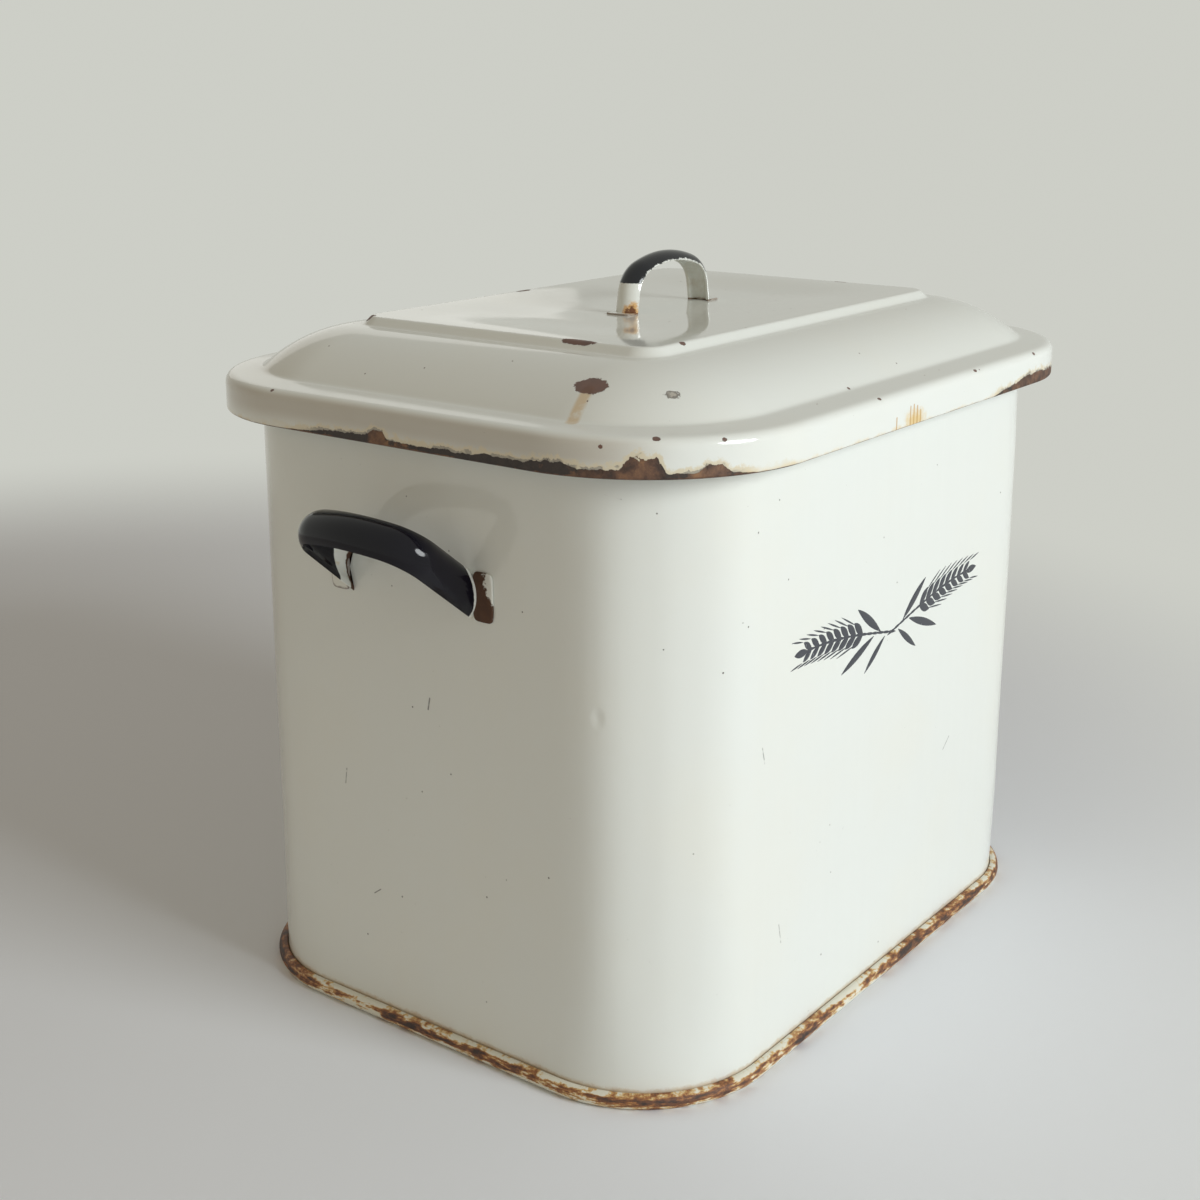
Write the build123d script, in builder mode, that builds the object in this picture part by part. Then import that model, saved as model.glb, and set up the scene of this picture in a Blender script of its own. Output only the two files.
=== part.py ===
"""Enamelled sheet-steel bread bin: a wrapped body with a seamed base and wired rim, a strap handle
welded to each end, and a lift-off lid with its own strap handle.

Millimetres, +Z up. The origin is on the table, under the middle of the bin. The front faces -Y.
"""
import os
from math import asin, cos, degrees, hypot, radians, sin, tan

from build123d import *

# Body: one sheet wrapped into a tall rounded box, its ends lapped and welded at the back.
body_width = 330.0
body_depth = 252.0
body_corner_radius = 58.0
rim_height = 279.2
sheet = 1.0
lap_width = 12.0
lap_thickness = 0.8
lap_end_gap = 1.0

# Rim: the sheet turns out into a narrow ledge and curls round a wire.
rim_bend_radius = 2.0
rim_ledge = 7.0
rim_curl_angle = 260.0
wire_diameter = 6.0
wire_clearance = 0.1

# Base: a recessed pan whose edge is rolled round the foot of the wall.
seam_height = 6.5
seam_overhang = 4.6
seam_gap = 0.35
wall_foot_radius = 0.6
floor_recess = 7.0
floor_bend_radius = 2.0
floor_band = 20.0
pan_clearance = 0.1
pan_foot_radius = 1.0

# Lid: a drawn shell that hangs over the rim, with a ledge that falls a little outwards, a low dome and
# a stepped top panel.
lid_side_clearance = 2.5
lid_seat_gap = 0.3
skirt_height = 16.9
hem_height = 5.0
shoulder_radius = 4.0
ledge_fall_angle = 5.8
dome_foot_inset = 0.5
dome_foot_radius = 3.0
dome_rise = 17.8
dome_bulge_angle = 20.0
step_run = 3.6
step_rise = 3.6
step_root_radius = 2.0
panel_corner_radius = 9.4
panel_edge_radius = 1.8
panel_hollow = 2.2
hollow_run = 40.0

# Strap handles: half-round steel strap bent into a three-centred arch, with welded foot tabs.
strap_thickness = 1.6
side_span = 64.0
side_reach = 49.0
side_strap_width = 16.0
side_strap_crown = 4.5
side_bend_radius = 15.0
side_arch_radius = 75.0
side_splay = 4.0
side_tilt = 39.0
side_height = 205.5
side_setback = 7.5
side_tab_length = 8.0
side_tab_thickness = 1.0
lid_span = 57.0
lid_reach = 26.0
lid_strap_width = 12.5
lid_strap_crown = 4.3
lid_bend_radius = 13.0
lid_arch_radius = 60.0
lid_splay = 9.0
lid_handle_forward = 2.0
lid_tab_length = 4.0
lid_tab_thickness = 0.8

# Places worked out from the sizes above. Outward distances are counted from the wall's outer face.
half_width = body_width / 2
half_depth = body_depth / 2
wire_radius = wire_diameter / 2
curl_radius = wire_radius + wire_clearance
wire_height = rim_height - sheet - curl_radius
rim_reach = rim_ledge + curl_radius + sheet
seam_radius = seam_height / 2 - sheet
seam_centre = seam_overhang - seam_radius - sheet
wall_foot = seam_height / 2 + sheet / 2
lid_reach_out = rim_reach + lid_side_clearance + 2 * sheet
ledge_fall = tan(radians(ledge_fall_angle))
ledge_height = rim_height + lid_seat_gap + sheet + (rim_ledge + dome_foot_inset) * ledge_fall
skirt_bottom = ledge_height - skirt_height
panel_height = ledge_height + dome_rise + step_rise
panel_inset = body_corner_radius - panel_corner_radius
panel_join = panel_corner_radius / 2
field_height = panel_height - panel_hollow

# The sheet sections stand at the middle of the +X end and travel once round the wall's outline.
section_plane = Plane(origin=(half_width, 0, 0), x_dir=(1, 0, 0), z_dir=(0, -1, 0))
with BuildLine() as wall_outline:
    straight_x = half_width - body_corner_radius
    straight_y = half_depth - body_corner_radius
    Line((half_width, 0), (half_width, -straight_y))
    RadiusArc((half_width, -straight_y), (straight_x, -half_depth), body_corner_radius)
    Line((straight_x, -half_depth), (-straight_x, -half_depth))
    RadiusArc((-straight_x, -half_depth), (-half_width, -straight_y), body_corner_radius)
    Line((-half_width, -straight_y), (-half_width, straight_y))
    RadiusArc((-half_width, straight_y), (-straight_x, half_depth), body_corner_radius)
    Line((-straight_x, half_depth), (straight_x, half_depth))
    RadiusArc((straight_x, half_depth), (half_width, straight_y), body_corner_radius)
    Line((half_width, straight_y), (half_width, 0))
round_the_wall = wall_outline.wire()


def sheet_section(skin):
    """Closed section of a bent sheet: its two skins, joined at both ends."""
    with BuildLine() as outline:
        start, end = skin(0)
        back_start, back_end = skin(sheet)
        Line(start, back_start)
        Line(end, back_end)
    make_face(outline.edges())


def wall_skin(depth):
    """One face of the wall's sheet, `depth` behind its outer face, from base seam to rim curl."""
    flange_height = wall_foot - depth
    foot_radius = wall_foot_radius + depth
    ledge_face = rim_height - sheet + depth
    bend_radius = rim_bend_radius + depth
    flange = Line((seam_centre + seam_radius - seam_gap, flange_height), (wall_foot_radius, flange_height))
    foot_bend = JernArc(flange @ 1, flange % 1, foot_radius, -90)
    face = Line(foot_bend @ 1, (-depth, ledge_face - bend_radius))
    rim_bend = JernArc(face @ 1, face % 1, bend_radius, -90)
    ledge = Line(rim_bend @ 1, (rim_ledge, ledge_face))
    curl = JernArc(ledge @ 1, ledge % 1, curl_radius + depth, -rim_curl_angle)
    return flange @ 0, curl @ 1


# Wall: from the flange locked in the base seam, up the outer face, out along the rim and round the wire.
with BuildPart() as body_wall:
    with BuildSketch(section_plane):
        sheet_section(wall_skin)
    sweep(path=round_the_wall)
    lap_bottom = seam_height + lap_end_gap
    lap_top = rim_height - sheet - rim_bend_radius
    with BuildSketch(Plane.XY.offset(lap_bottom)):
        with Locations((0, half_depth)):
            Rectangle(lap_width, lap_thickness, align=(Align.CENTER, Align.MIN))
    extrude(amount=lap_top - lap_bottom)
body_wall.part.label = "body_wall"

# Rim wire: a closed ring of round wire inside the curl.
with BuildPart() as rim_wire:
    with BuildSketch(section_plane):
        with Locations((rim_ledge, wire_height)):
            Circle(wire_radius)
    sweep(path=round_the_wall)
rim_wire.part.label = "rim_wire"


def pan_skin(depth):
    """One face of the base's sheet, `depth` behind the face that meets the wall, from floor to seam."""
    floor_height = floor_recess + sheet - depth
    bend_radius = floor_bend_radius + sheet - depth
    foot_radius = pan_foot_radius + depth
    upstand_face = -sheet - pan_clearance - depth
    floor = Line((-floor_band, floor_height), (upstand_face - bend_radius, floor_height))
    floor_bend = JernArc(floor @ 1, floor % 1, bend_radius, -90)
    upstand = Line(floor_bend @ 1, (upstand_face, sheet - depth + foot_radius))
    foot_bend = JernArc(upstand @ 1, upstand % 1, foot_radius, 90)
    sole = Line(foot_bend @ 1, (seam_centre, sheet - depth))
    roll = JernArc(sole @ 1, sole % 1, seam_radius + depth, 180)
    lock = Line(roll @ 1, (wall_foot_radius, seam_height - sheet + depth))
    return floor @ 0, lock @ 1


# Base pan: the floor turns down inside the wall, out under its flange and back over it.
with BuildPart() as base_pan:
    with BuildSketch(section_plane):
        sheet_section(pan_skin)
    sweep(path=round_the_wall)
    with BuildSketch(Plane.XY.offset(floor_recess)):
        RectangleRounded(
            body_width - 2 * floor_band, body_depth - 2 * floor_band, body_corner_radius - floor_band
        )
    extrude(amount=sheet)
base_pan.part.label = "base_pan"


def lid_skin(drop):
    """One face of the lid's sheet, from skirt to panel: the outer one, or the one `drop` below it."""
    skirt = lid_reach_out - drop
    ledge_z = ledge_height - drop
    radius = shoulder_radius - drop
    fall = radians(ledge_fall_angle)
    shoulder_reach = skirt - radius + radius * sin(fall)
    shoulder_z = ledge_z - (shoulder_reach + dome_foot_inset) * ledge_fall
    dome_foot = (-dome_foot_inset, ledge_z)
    dome_top = (step_run - panel_inset, ledge_z + dome_rise)
    dome_run = panel_inset - step_run - dome_foot_inset
    dome_radius = hypot(dome_run, dome_rise) / (2 * sin(radians(dome_bulge_angle)))
    side = Line((skirt, skirt_bottom), (skirt, shoulder_z - radius * cos(fall)))
    shoulder = JernArc(side @ 1, side % 1, radius, 90 - ledge_fall_angle)
    Line(shoulder @ 1, dome_foot)
    RadiusArc(dome_foot, dome_top, -dome_radius)
    step = Line(dome_top, (-panel_inset, panel_height - drop))
    panel = Line(step @ 1, (-panel_inset - panel_join, panel_height - drop))
    return side @ 0, panel @ 1


def panel_outline(inset):
    """The lid panel's outline, `inset` inside the edge where the panel meets the swept shell."""
    edge_inset = panel_inset + panel_join + inset
    corner = panel_corner_radius - panel_join
    RectangleRounded(body_width - 2 * edge_inset, body_depth - 2 * edge_inset, corner)


# Lid: the swept skirt, ledge, dome and step, closed by a top panel that is pressed slightly hollow.
with BuildPart() as lid_shell:
    with BuildSketch(section_plane) as lid_section:
        sheet_section(lid_skin)
        for drop in (0, sheet):
            creases = (
                ((-dome_foot_inset, ledge_height - drop), dome_foot_radius),
                ((step_run - panel_inset, ledge_height + dome_rise - drop), step_root_radius),
                ((-panel_inset, panel_height - drop), panel_edge_radius),
            )
            for place, radius in creases:
                fillet(lid_section.sketch_local.vertices().sort_by_distance(place)[0], radius)
    sweep(path=round_the_wall)
    with BuildSketch(section_plane):
        with Locations((lid_reach_out - sheet, skirt_bottom)):
            Rectangle(sheet, hem_height, align=(Align.MAX, Align.MIN))
    sweep(path=round_the_wall)
    with BuildSketch(Plane.XY.offset(panel_height - sheet)):
        panel_outline(0)
    extrude(amount=sheet)
    for height, mode in ((panel_height - sheet, Mode.ADD), (panel_height, Mode.SUBTRACT)):
        with BuildSketch(Plane.XY.offset(height)):
            panel_outline(0)
        with BuildSketch(Plane.XY.offset(height - panel_hollow)):
            panel_outline(hollow_run)
        loft(ruled=True, mode=mode)
lid_shell.part.label = "lid_shell"


def strap_section(width, crown):
    """Half-round strap: two arcs over one chord, with the strap's edges flat on the chord."""
    half = width / 2
    inner_half = half - strap_thickness
    with BuildLine() as outline:
        ThreePointArc((-half, 0), (0, crown), (half, 0))
        Line((half, 0), (inner_half, 0))
        ThreePointArc((inner_half, 0), (0, crown - strap_thickness), (-inner_half, 0))
        Line((-inner_half, 0), (-half, 0))
    make_face(outline.edges())


def strap_handle(
    seat, tilt, splay, span, reach, width, crown, bend_radius, arch_radius, tab_length, tab_thickness
):
    """Strap handle on `seat`, its arch turned by `tilt` from the seat's normal towards the seat's y.

    The arch has three centres: a flat crown arc runs into a tighter bend above each leg, and the
    legs spread by `splay` towards their feet, which are `span` apart.
    """
    lean = radians(tilt)
    spread = radians(splay)
    rise = seat.z_dir * cos(lean) + seat.y_dir * sin(lean)
    arch_plane = Plane(origin=seat.origin, x_dir=seat.x_dir, z_dir=seat.x_dir.cross(rise))
    half = span / 2
    centre_height = reach - crown - arch_radius
    bend_offset = half * cos(spread) - centre_height * sin(spread) - bend_radius
    crown_angle = asin(bend_offset / (arch_radius - bend_radius)) - spread
    bend_x = -(arch_radius - bend_radius) * sin(crown_angle) - bend_radius * cos(spread)
    bend_y = centre_height + (arch_radius - bend_radius) * cos(crown_angle) + bend_radius * sin(spread)
    root_x = half + width * sin(spread)
    root_y = -width * cos(spread)
    bend_turn = 90 - splay - degrees(crown_angle)
    with BuildLine(arch_plane) as arch:
        leg = Line((-root_x, root_y), (bend_x, bend_y))
        first = JernArc(leg @ 1, leg % 1, bend_radius, -bend_turn)
        top = JernArc(first @ 1, first % 1, arch_radius, -2 * degrees(crown_angle))
        last = JernArc(top @ 1, top % 1, bend_radius, -bend_turn)
        Line(last @ 1, (root_x, root_y))
    with BuildSketch(Plane(origin=leg @ 0, x_dir=-arch_plane.z_dir, z_dir=leg % 0)) as strap:
        strap_section(width, crown)
    sweep(strap.sketch, path=arch.wire())
    split(bisect_by=seat, keep=Keep.TOP)
    tab_inner = half + crown / 2
    tab_outer = half + crown + tab_length
    with BuildSketch(seat) as tabs:
        with Locations((-(tab_inner + tab_outer) / 2, 0), ((tab_inner + tab_outer) / 2, 0)):
            Rectangle(tab_outer - tab_inner, width / cos(lean))
    extrude(tabs.sketch, amount=tab_thickness)


# End handles: one leans up from each end wall.
side_handles = []
for name, end in (("side_handle_left", -1), ("side_handle_right", 1)):
    end_seat = Plane(
        origin=(end * half_width, side_setback, side_height), x_dir=(0, end, 0), z_dir=(end, 0, 0)
    )
    with BuildPart() as side_handle:
        strap_handle(
            end_seat, side_tilt, side_splay, side_span, side_reach, side_strap_width, side_strap_crown,
            side_bend_radius, side_arch_radius, side_tab_length, side_tab_thickness,
        )
    side_handle.part.label = name
    side_handles.append(side_handle)

# Lid handle: it stands upright on the hollow of the panel, along the bin's width, a little forward.
lid_seat = Plane(origin=(0, -lid_handle_forward, field_height))
with BuildPart() as lid_handle:
    strap_handle(
        lid_seat, 0, lid_splay, lid_span, lid_reach, lid_strap_width, lid_strap_crown,
        lid_bend_radius, lid_arch_radius, lid_tab_length, lid_tab_thickness,
    )
lid_handle.part.label = "lid_handle"

os.makedirs("parts", exist_ok=True)
for piece in (body_wall, rim_wire, base_pan, lid_shell, *side_handles, lid_handle):
    export_step(piece.part, f"parts/{piece.part.label}.step")
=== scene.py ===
"""An old enamelled bread bin: white body and lift-off lid, black strap handles, rust where the enamel has gone."""
from functools import reduce

import bpy
import numpy as np
from mathutils import Matrix, Vector


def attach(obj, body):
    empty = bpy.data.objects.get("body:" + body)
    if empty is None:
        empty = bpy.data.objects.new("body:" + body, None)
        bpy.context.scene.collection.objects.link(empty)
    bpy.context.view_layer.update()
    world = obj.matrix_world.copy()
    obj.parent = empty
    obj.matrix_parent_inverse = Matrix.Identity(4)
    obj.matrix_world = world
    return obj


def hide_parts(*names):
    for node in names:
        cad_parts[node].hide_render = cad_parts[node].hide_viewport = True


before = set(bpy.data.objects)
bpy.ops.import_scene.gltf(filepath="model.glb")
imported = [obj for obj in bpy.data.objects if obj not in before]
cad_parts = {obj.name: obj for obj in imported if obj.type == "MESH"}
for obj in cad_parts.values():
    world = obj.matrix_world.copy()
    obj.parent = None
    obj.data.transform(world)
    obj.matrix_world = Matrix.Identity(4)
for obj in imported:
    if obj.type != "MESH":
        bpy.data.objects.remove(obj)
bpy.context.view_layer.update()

# Body wall: one steel sheet wrapped into a tall box with round corners, its ends lapped down the back.
# Its foot is flanged into the base seam, its rim turns out into a ledge and curls round a wire, and it is
# enamelled white inside and out.
mm = 0.001
half_width = 165.0
half_depth = 126.0
corner_radius = 58.0
rim_height = 279.2
sheet = 1.0
lap_half = 6.0
lap_edge = 0.2
lap_rise = 0.8
core_x = half_width - corner_radius
core_y = half_depth - corner_radius


def stations():
    """Core points and outward directions of the stations round the bin, from the middle of the back, clockwise.

    A rounded rectangle is its core rectangle grown by the corner radius: along a straight run the core point
    slides and the direction stays, and round a corner the core point stays and the direction turns. The lap's
    edge has a station on either side, and the sides that show most have the closest stations.
    """
    beyond_lap = 10.0
    back_count, right_count, front_count, left_count = 14, 26, 64, 64
    corner_counts = (29, 37, 61, 29)
    back = np.r_[0, lap_half - lap_edge, lap_half + lap_edge, np.linspace(beyond_lap, core_x, back_count)[:-1]]
    right, left = (np.linspace(core_y, -core_y, count)[1:-1] for count in (right_count, left_count))
    front = np.linspace(core_x, -core_x, front_count)[1:-1]
    far_right, near_right, near_left, far_left = (
        np.pi / 2 * (1 - turn - np.linspace(0, 1, count)) for turn, count in enumerate(corner_counts)
    )
    runs = (
        (back, core_y, np.pi / 2), (core_x, core_y, far_right), (core_x, right, 0), (core_x, -core_y, near_right),
        (front, -core_y, -np.pi / 2), (-core_x, -core_y, near_left), (-core_x, -left, -np.pi),
        (-core_x, core_y, far_left), (-back[:0:-1], core_y, np.pi / 2),
    )
    table = np.hstack([np.stack(np.broadcast_arrays(*(np.asarray(v, float) for v in run))) for run in runs])
    return table[:2].T, np.stack([np.cos(table[2]), np.sin(table[2])], -1)


core, outward = stations()


def carried(profile):
    """Rings of a profile carried round the bin: each point lies its outward distance beyond the wall's face."""
    profile = np.asarray(profile, float)
    flat = core + (corner_radius + profile[:, :1, None]) * outward
    heights = np.broadcast_to(profile[:, 1:, None], flat.shape[:2] + (1,))
    return np.concatenate([flat, heights], -1)


def bend(start, heading, radius, turn, count):
    """Points of a circular bend that leaves `start` at `heading` degrees and turns left by `turn` degrees.

    They lie a radius from its middle, which is a radius to the left of the start, or to the right for a turn below 0.
    """
    angles = np.radians(heading + np.linspace(0, turn, count))
    reach = np.sign(turn) * radius * np.stack([-np.sin(angles), np.cos(angles)], -1)
    return np.asarray(start) + reach[0] - reach


def shell(rings, ends):
    """Points, four-sided faces and fans of a closed skin through rings of equal length.

    Each face joins two neighbouring points of a ring to the same two of the next. With ends the first and last
    ring are closed by fans to their middles, and without them the last ring joins the first.
    """
    count, length = rings.shape[:2]
    i, j = np.meshgrid(np.arange(count - ends), np.arange(length), indexing="ij")
    here, beyond = i * length, (i + 1) % count * length
    further = (j + 1) % length
    quads = np.stack([here + j, beyond + j, beyond + further, here + further], -1).reshape(-1, 4)
    points = rings.reshape(-1, 3)
    if not ends:
        return points, quads, np.zeros((0, 3), int)
    ring = np.arange(length)
    last = (count - 1) * length
    low = np.stack([np.full(length, len(points)), ring, np.roll(ring, -1)], -1)
    high = np.stack([np.full(length, len(points) + 1), last + np.roll(ring, -1), last + ring], -1)
    return np.vstack([points, rings[0].mean(0), rings[-1].mean(0)]), quads, np.vstack([low, high])


sharp_angle = 0.7


def piece(name, body, slot, skins, **attributes):
    """A new piece made of closed skins, in metres, with its point attributes, riding on a body."""
    starts = np.cumsum([0] + [len(points) for points, _, _ in skins])
    faces = []
    for start, (_, quads, fans) in zip(starts, skins):
        faces += (quads + start).tolist() + (fans + start).tolist()
    mesh = bpy.data.meshes.new(name)
    mesh.from_pydata((np.vstack([points for points, _, _ in skins]) * mm).tolist(), [], faces)
    mesh.shade_smooth()
    mesh.set_sharp_from_angle(angle=sharp_angle)
    for key, values in attributes.items():
        mesh.attributes.new(key, "FLOAT", "POINT").data.foreach_set("value", np.asarray(values, np.float32))
    made = bpy.data.objects.new(name, mesh)
    bpy.context.scene.collection.objects.link(made)
    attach(made, body)
    return made


flange_top = 3.75
flange_bottom = flange_top - sheet
flange_middle = 1.8
flange_reach = 3.25
foot_radius = 0.6
foot_height = flange_top + foot_radius
ledge_radius = 2.0
ledge_bottom = rim_height - sheet
ledge_middle = 4.5
curl_start = 7.0
curl_radius = 3.1
curl_turn = -260
face_top = ledge_bottom - ledge_radius
wall_profile = np.vstack([
    [(flange_reach, flange_top), (flange_middle, flange_top)],
    bend((foot_radius, flange_top), 180, foot_radius, -90, 5),
    np.linspace((0, foot_height), (0, face_top), 80)[1:-1],
    bend((0, face_top), 90, ledge_radius, -90, 7),
    [(ledge_middle, ledge_bottom)],
    bend((curl_start, ledge_bottom), 0, curl_radius, curl_turn, 19),
    bend((curl_start, rim_height), 0, curl_radius + sheet, curl_turn, 25)[::-1],
    [(ledge_middle, rim_height)],
    bend((-sheet, face_top), 90, ledge_radius + sheet, -90, 8)[::-1],
    np.linspace((-sheet, face_top), (-sheet, foot_height), 36)[1:-1],
    bend((foot_radius, flange_bottom), 180, foot_radius + sheet, -90, 6)[::-1],
    [(flange_middle, flange_bottom), (flange_reach, flange_bottom)],
])
wall_rings = carried(wall_profile)
wave_height = 0.16
swelling_height = 0.9
swelling_turn = 40.0
calm_foot = 12.0
calm_rim = 6.0
calm_run = 40.0


def ripple(x, y, z):
    """How far the sheet stands out of true at a place.

    Slow sine waves along and up the sheet, and a sine-squared swelling where each corner's bend begins and ends, as
    left by bending over a block. All of it dies out towards the rim and the foot.
    """
    room = np.clip((z - calm_foot) / calm_run, 0, 1) * np.clip((face_top - calm_rim - z) / calm_run, 0, 1)
    waves = np.sin((x - y) / 21 + z / 63) * np.sin(z / 37 - (x - y) / 88) + 0.6 * np.sin((x + y) / 47 - z / 52)
    past_x = np.maximum(np.abs(x) - core_x, 0)
    past_y = np.maximum(np.abs(y) - core_y, 0)
    turned = np.degrees(np.arctan2(past_y, past_x))
    swelling = sum(np.sin(np.pi * np.clip(a / swelling_turn, 0, 1)) ** 2 for a in (turned, 90 - turned))
    return room * (wave_height * waves + swelling_height * swelling)


lap_bottom = 8.0
lap_top = face_top - 1.0
hair = 0.01
heights = wall_profile[:, 1:]
on_lap = (core[:, 1] > 0) & (outward[:, 1] > 1 - hair) & (np.abs(core[:, 0]) < lap_half)
outer_face = (np.abs(wall_profile[:, :1]) < hair) & (heights > lap_bottom) & (heights < lap_top)
pushed = ripple(*np.moveaxis(wall_rings, -1, 0)) + lap_rise * (on_lap & outer_face)
wall_rings[..., :2] += pushed[..., None] * outward
body_wall = piece("bin_wall", "bin", "white_enamel", [shell(wall_rings, 0)])
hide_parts("body_wall")


class Sock:
    """An output socket of a material's node tree. Sums, products and the like of sockets add Math nodes."""

    def __init__(self, tree, socket):
        self.tree = tree
        self.socket = socket

    def make(self, kind, settings, sockets, output=0):
        """Adds a node of that kind: its settings first, then the values or links of its sockets."""
        node = self.tree.nodes.new("ShaderNode" + kind)
        stops = settings.pop("stops", ())
        for key, value in settings.items():
            setattr(node, key, value)
        for at, _ in stops[2:]:
            node.color_ramp.elements.new(at)
        for element, (at, colour) in zip(node.color_ramp.elements if stops else (), stops):
            element.position = at
            element.color = colour
        for key, value in sockets.items():
            if isinstance(value, Sock):
                self.tree.links.new(value.socket, node.inputs[key])
            else:
                node.inputs[key].default_value = value
        return Sock(self.tree, node.outputs[output])

    def math(self, operation, *values):
        """Adds a Math node."""
        return self.make("Math", {"operation": operation}, dict(enumerate(values)))

    def __add__(self, other):
        return self.math("ADD", self, other)

    def __sub__(self, other):
        return self.math("SUBTRACT", self, other)

    def __rsub__(self, other):
        return self.math("SUBTRACT", other, self)

    def __mul__(self, other):
        return self.math("MULTIPLY", self, other)

    def __truediv__(self, other):
        return self.math("DIVIDE", self, other)

    def __abs__(self):
        return self.math("ABSOLUTE", self)

    __radd__ = __add__
    __rmul__ = __mul__


def finish_for(made, name):
    """A new material on a piece, its shader, and the surface's place in millimetres."""
    material = bpy.data.materials.new(name)
    material.use_nodes = True
    shader = material.node_tree.nodes["Principled BSDF"]
    place = Sock(material.node_tree, material.node_tree.nodes.new("ShaderNodeTexCoord").outputs["Object"])
    made.data.materials.clear()
    made.data.materials.append(material)
    return shader, place.make("VectorMath", {"operation": "SCALE"}, {0: place, "Scale": 1 / mm})


def feed(shader, **sockets):
    """Links the sockets of a shader to what varies over the surface."""
    for key, value in sockets.items():
        value.tree.links.new(value.socket, shader.inputs[key.replace("_", " ")])


def coordinate(where, axis):
    """One coordinate of the surface's place."""
    return where.make("SeparateXYZ", {}, {0: where}, axis)


def noise(where, size, detail=2.0, roughness=0.5):
    """Cloudy noise whose features are about `size` millimetres."""
    return where.make("TexNoise", {}, {"Vector": where, "Scale": 1 / size, "Detail": detail, "Roughness": roughness})


def rise(value, low, high):
    """A smooth step from 0 at `low` to 1 at `high`."""
    sockets = {"Value": value, "From Min": low, "From Max": high}
    return value.make("MapRange", {"interpolation_type": "SMOOTHSTEP"}, sockets)


def over(amount, below, above):
    """One colour laid over another by an amount. A Mix node has its colours at inputs 6 and 7 and output 2."""
    return amount.make("Mix", {"data_type": "RGBA"}, {0: amount, 6: below, 7: above}, 2)


def largest(values):
    """The largest of several values at each place."""
    return reduce(lambda first, second: first.math("MAXIMUM", first, second), values)


def gap_to(where, centre, radii):
    """Distance from a centre, counted in radii along x, y and z."""
    away = where.make("VectorMath", {"operation": "SUBTRACT"}, {0: where, 1: centre})
    scaled = where.make("VectorMath", {"operation": "DIVIDE"}, {0: away, 1: radii})
    return where.make("VectorMath", {"operation": "LENGTH"}, {0: scaled}, "Value")


def scratch(where, start, end, width):
    """How near the surface is to a straight scratch: 1 on its line, 0 beyond its width.

    The nearest point of the line is its start plus a share of its run, and the share is held between 0 and 1.
    """
    run = Vector(end) - Vector(start)
    away = where.make("VectorMath", {"operation": "SUBTRACT"}, {0: where, 1: start})
    share = where.make("VectorMath", {"operation": "DOT_PRODUCT"}, {0: away, 1: run / run.length_squared}, "Value")
    held = share.math("MINIMUM", share, 1.0)
    held = held.math("MAXIMUM", held, 0.0)
    nearest = where.make("VectorMath", {"operation": "SCALE"}, {0: tuple(run), "Scale": held})
    off = where.make("VectorMath", {"operation": "DISTANCE"}, {0: away, 1: nearest}, "Value")
    return rise(off, width, width * 0.4)


def pinholes(where, spacing, radius):
    """Small round specks, strewn at random about `spacing` millimetres apart through the sheet."""
    cell = where.make("TexVoronoi", {"feature": "F1"}, {"Vector": where, "Scale": 1 / spacing})
    return rise(cell * spacing, radius, radius * 0.55)


def enamel_white(where):
    """White enamel: its colour with faint yellowing, its roughness, and the height of its orange peel."""
    tint = rise(noise(where, 70, 3), 0.42, 0.75)
    colour = over(tint, (0.765, 0.790, 0.755, 1), (0.770, 0.785, 0.735, 1))
    fine = noise(where, 5, 3, 0.6)
    gloss = 0.06 + 0.10 * rise(noise(where, 26, 4, 0.65), 0.45, 0.8) + 0.03 * fine
    peel = 0.6 * noise(where, 9, 1) + 0.05 * fine
    return colour, gloss, peel


def bumped(shader, height):
    """Turns heights in millimetres into the shader's normals."""
    feed(shader, Normal=height.make("Bump", {}, {"Height": height, "Strength": 1.0, "Distance": mm}))


shader, where = finish_for(body_wall, "wall_enamel")
colour, gloss, peel = enamel_white(where)
specks = largest([pinholes(where, 15, 0.5), 0.8 * pinholes(where, 8, 0.16)])
wall_scratches = (
    ((-118.4, -124.9, 191.5), (-120.7, -124.4, 184), 0.45), ((-106, -126, 145.5), (-104, -126, 138.5), 0.35),
    ((-165, -1.5, 156.5), (-165, -0.5, 151.5), 0.5), ((-165, 48, 113.5), (-165, 49, 106.5), 0.4),
    ((-161.2, -88.6, 255), (-158.6, -94.5, 253.5), 0.5), ((-90, -126, 62), (-88, -126, 53), 0.3),
    ((-165, 30, 61.5), (-165, 34, 58.5), 0.4), ((58, -126, 92.5), (64, -126, 97.5), 0.3),
)
marks = largest([scratch(where, *ends_and_width) for ends_and_width in wall_scratches])
marks = marks * rise(noise(where, 3, 2), 0.3, 0.5)
stain = rise(coordinate(where, "Z") + 5 * noise(where, 7, 4, 0.7), 11.1, 8.5)
colour = over(0.6 * stain, colour, (0.50, 0.33, 0.15, 1))
colour = over(0.85 * specks, colour, (0.055, 0.042, 0.034, 1))
colour = over(0.8 * marks, colour, (0.09, 0.085, 0.08, 1))
dent = rise(gap_to(where, (-162, -86.4, 166.5), (3.6, 3.6, 5.5)), 1.0, 0.0)
feed(shader, Base_Color=colour, Roughness=gloss + 0.4 * specks + 0.3 * stain + 0.3 * marks)
upright = where.make("VectorMath", {"operation": "MULTIPLY"}, {0: where, 1: (1, 1, 0.06)})
bumped(shader, 0.05 * peel + 0.16 * noise(upright, 15, 2) - 0.35 * dent - 0.2 * specks - 0.12 * marks)

# Rim wire: a ring of drawn steel wire that the rim is curled round.
# It stiffens the mouth and hardly shows, because the curl closes over it.
shader, where = finish_for(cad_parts["rim_wire"], "drawn_wire")
brown = rise(noise(where, 6, 4, 0.7), 0.45, 0.6)
colour = over(brown, (0.42, 0.40, 0.38, 1), (0.16, 0.07, 0.03, 1))
feed(shader, Base_Color=colour, Metallic=1 - brown, Roughness=0.35 + 0.4 * brown)

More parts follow.
